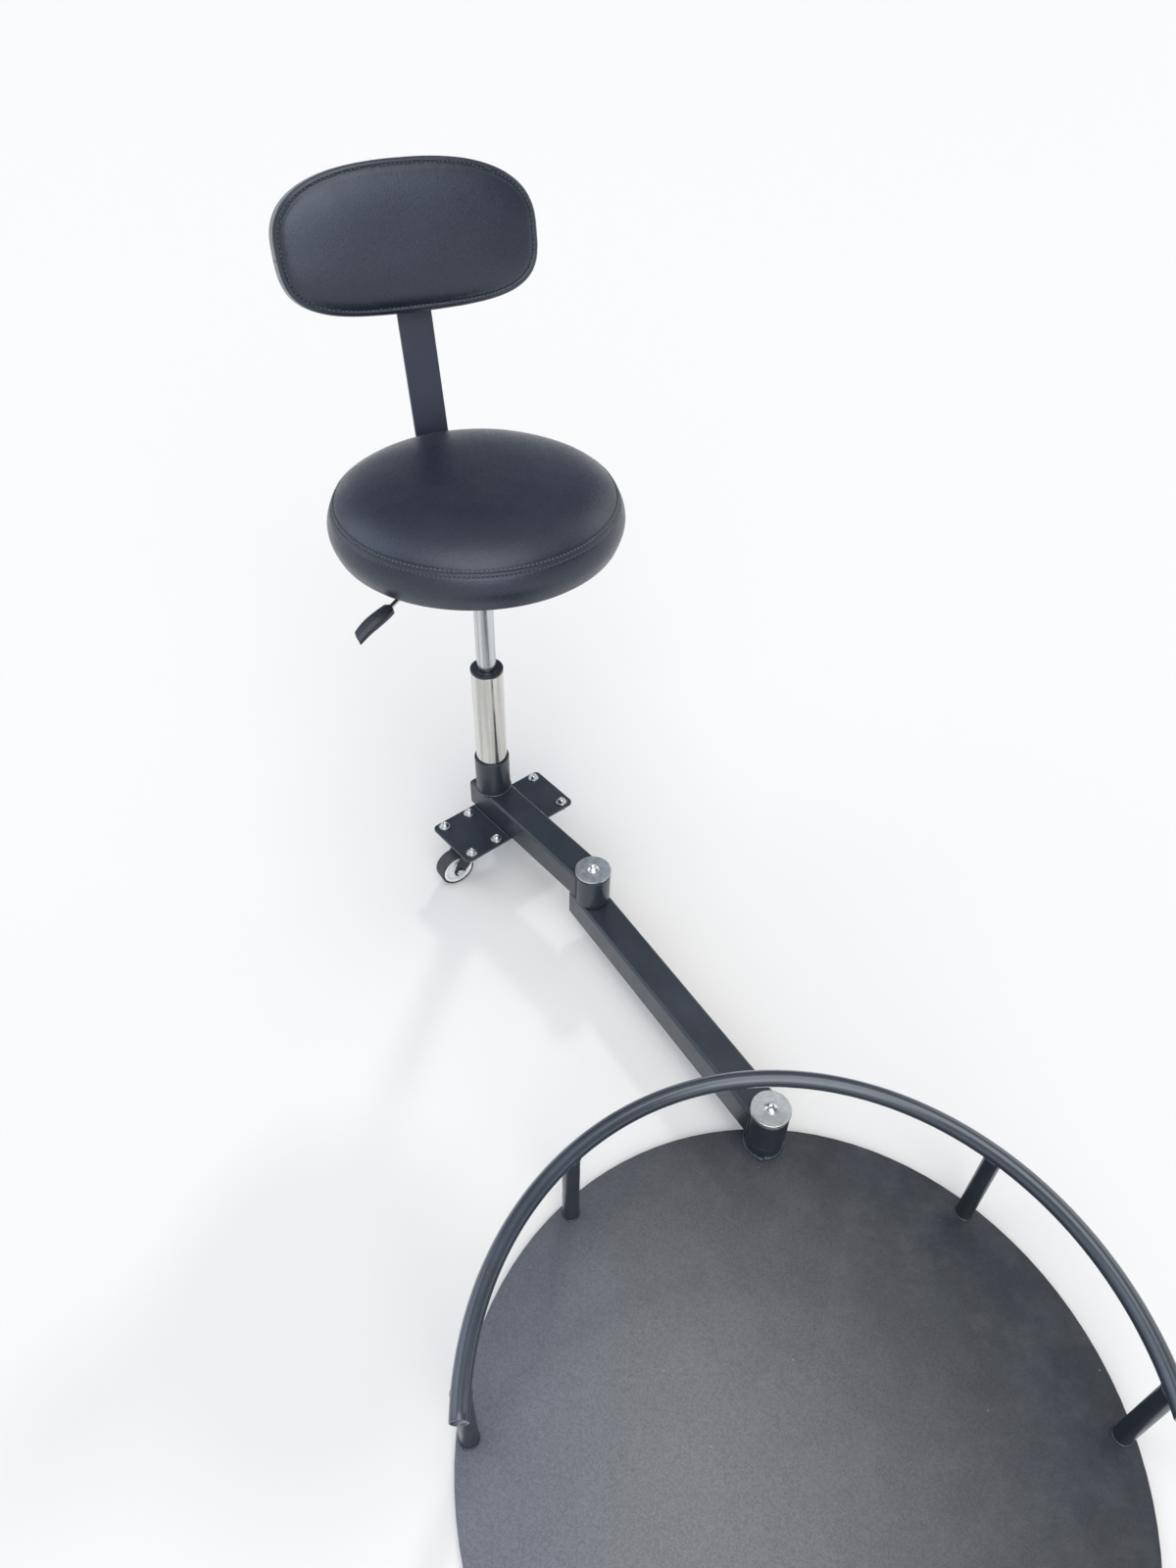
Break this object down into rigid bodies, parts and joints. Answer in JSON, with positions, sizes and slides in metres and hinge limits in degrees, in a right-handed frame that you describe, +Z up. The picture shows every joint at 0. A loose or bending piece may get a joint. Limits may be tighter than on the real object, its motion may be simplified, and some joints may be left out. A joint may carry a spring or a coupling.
{
  "type": "tethered swivel stool",
  "caption": "Padded swivel stool with backrest and gas lift on a jointed caster arm that pivots from a round floor plate with a half-circle foot rail.",
  "frame": {"origin": "centre of the round floor plate, on the floor", "axes": "+Z up; +Y from the plate's centre to the pivot of the swing arm"},
  "size_m": [0.9615, 1.4944, 0.9143],
  "materials": {
    "powder_coat": "satin black powder coat",
    "plate_coat": "fine-textured charcoal powder coat",
    "zinc": "zinc plated",
    "bright_steel": "bright plated steel",
    "chrome": "polished chrome",
    "nylon": "plain moulded bearing plastic",
    "black_plastic": "satin black moulding",
    "pale_plastic": "pale moulded wheel",
    "tyre": "matt black rubber",
    "leather": "fine-grained black upholstery with stitched seams",
    "board": "black-stained plywood"
  },
  "bodies": {
    "base": {"base_plate": "plate_coat", "foot_rail": "powder_coat", "rail_post_1": "powder_coat", "rail_post_2": "powder_coat", "rail_post_3": "powder_coat", "rail_post_4": "powder_coat", "base_post": "powder_coat", "base_cap": "zinc", "base_cap_screw": "bright_steel"},
    "lower_arm": {"lower_arm_tube": "powder_coat", "lower_arm_hub": "powder_coat", "lower_arm_end_plate": "powder_coat", "lower_arm_bush_bottom": "nylon", "lower_arm_bush_top": "nylon", "elbow_pin": "bright_steel", "elbow_cap": "zinc", "elbow_cap_screw": "bright_steel"},
    "upper_arm": {"upper_arm_tube": "powder_coat", "upper_arm_hub": "powder_coat", "upper_arm_end_plate": "powder_coat", "upper_arm_bush_bottom": "nylon", "upper_arm_bush_top": "nylon", "column_socket": "powder_coat", "column_tube": "chrome", "guide_bush": "black_plastic", "caster_plate": "powder_coat", "caster_bolt_1": "bright_steel", "caster_bolt_2": "bright_steel", "caster_bolt_3": "bright_steel", "caster_bolt_4": "bright_steel", "caster_bolt_5": "bright_steel", "caster_bolt_6": "bright_steel", "caster_bolt_7": "bright_steel", "caster_bolt_8": "bright_steel", "left_caster_flange": "zinc", "right_caster_flange": "zinc"},
    "left_fork": {"left_caster_fork": "black_plastic", "left_caster_axle": "zinc"},
    "left_wheel": {"left_caster_wheel_hub": "pale_plastic", "left_caster_tyre": "tyre"},
    "right_fork": {"right_caster_fork": "black_plastic", "right_caster_axle": "zinc"},
    "right_wheel": {"right_caster_wheel_hub": "pale_plastic", "right_caster_tyre": "tyre"},
    "piston": {"piston_rod": "bright_steel", "piston": "nylon", "thrust_bearing": "bright_steel", "rubber_bumper": "tyre", "retaining_clip": "bright_steel"},
    "seat": {"gas_cylinder": "chrome", "seat_bracket": "powder_coat", "seat_board": "board", "seat_cushion": "leather", "back_bar": "powder_coat", "back_pad": "leather", "lever_pin": "bright_steel"},
    "lever": {"lever_rod": "bright_steel", "lever_paddle": "black_plastic"},
    "valve": {"valve_pin": "bright_steel"}
  },
  "joints": [
    {"name": "arm_swing", "type": "hinge", "parent": "base", "child": "lower_arm", "pos_m": [0, 0.333, 0.0539], "axis": [0, 0, 1], "range_deg": [-133.5, 69]},
    {"name": "elbow_swing", "type": "hinge", "parent": "lower_arm", "child": "upper_arm", "pos_m": [-0.2156, 0.66755, 0.1035], "axis": [0, 0, -1], "range_deg": [-127, 142]},
    {"name": "left_caster_swivel", "type": "hinge", "parent": "upper_arm", "child": "left_fork", "pos_m": [-0.39914, 0.78509, 0.06], "axis": [0, 0, 1], "continuous": true},
    {"name": "left_wheel_spin", "type": "hinge", "parent": "left_fork", "child": "left_wheel", "pos_m": [-0.42422, 0.76772, 0.027], "axis": [-0.5693, 0.8221, 0], "continuous": true},
    {"name": "right_caster_swivel", "type": "hinge", "parent": "upper_arm", "child": "right_fork", "pos_m": [-0.30438, 0.8666, 0.06], "axis": [0, 0, 1], "continuous": true},
    {"name": "right_wheel_spin", "type": "hinge", "parent": "right_fork", "child": "right_wheel", "pos_m": [-0.33447, 0.87153, 0.027], "axis": [0.1616, 0.9869, 0], "continuous": true},
    {"name": "seat_swivel", "type": "hinge", "parent": "upper_arm", "child": "piston", "pos_m": [-0.36676, 0.84328, 0.14], "axis": [0, 0, 1], "continuous": true},
    {"name": "seat_lift", "type": "slide", "parent": "piston", "child": "seat", "axis": [0, 0, 1], "range_m": [-0.12, 0]},
    {"name": "lever_pull", "type": "hinge", "parent": "seat", "child": "lever", "pos_m": [-0.3846, 0.81917, 0.5447], "axis": [-0.8039, 0.5948, 0], "range_deg": [0, 5]},
    {"name": "valve_press", "type": "slide", "parent": "seat", "child": "valve", "axis": [0, 0, -1], "range_m": [0, 0.0028]}
  ],
  "couplings": [
    {"joint": "valve_press", "follows": "lever_pull", "m_per_rad": 0.03}
  ]
}
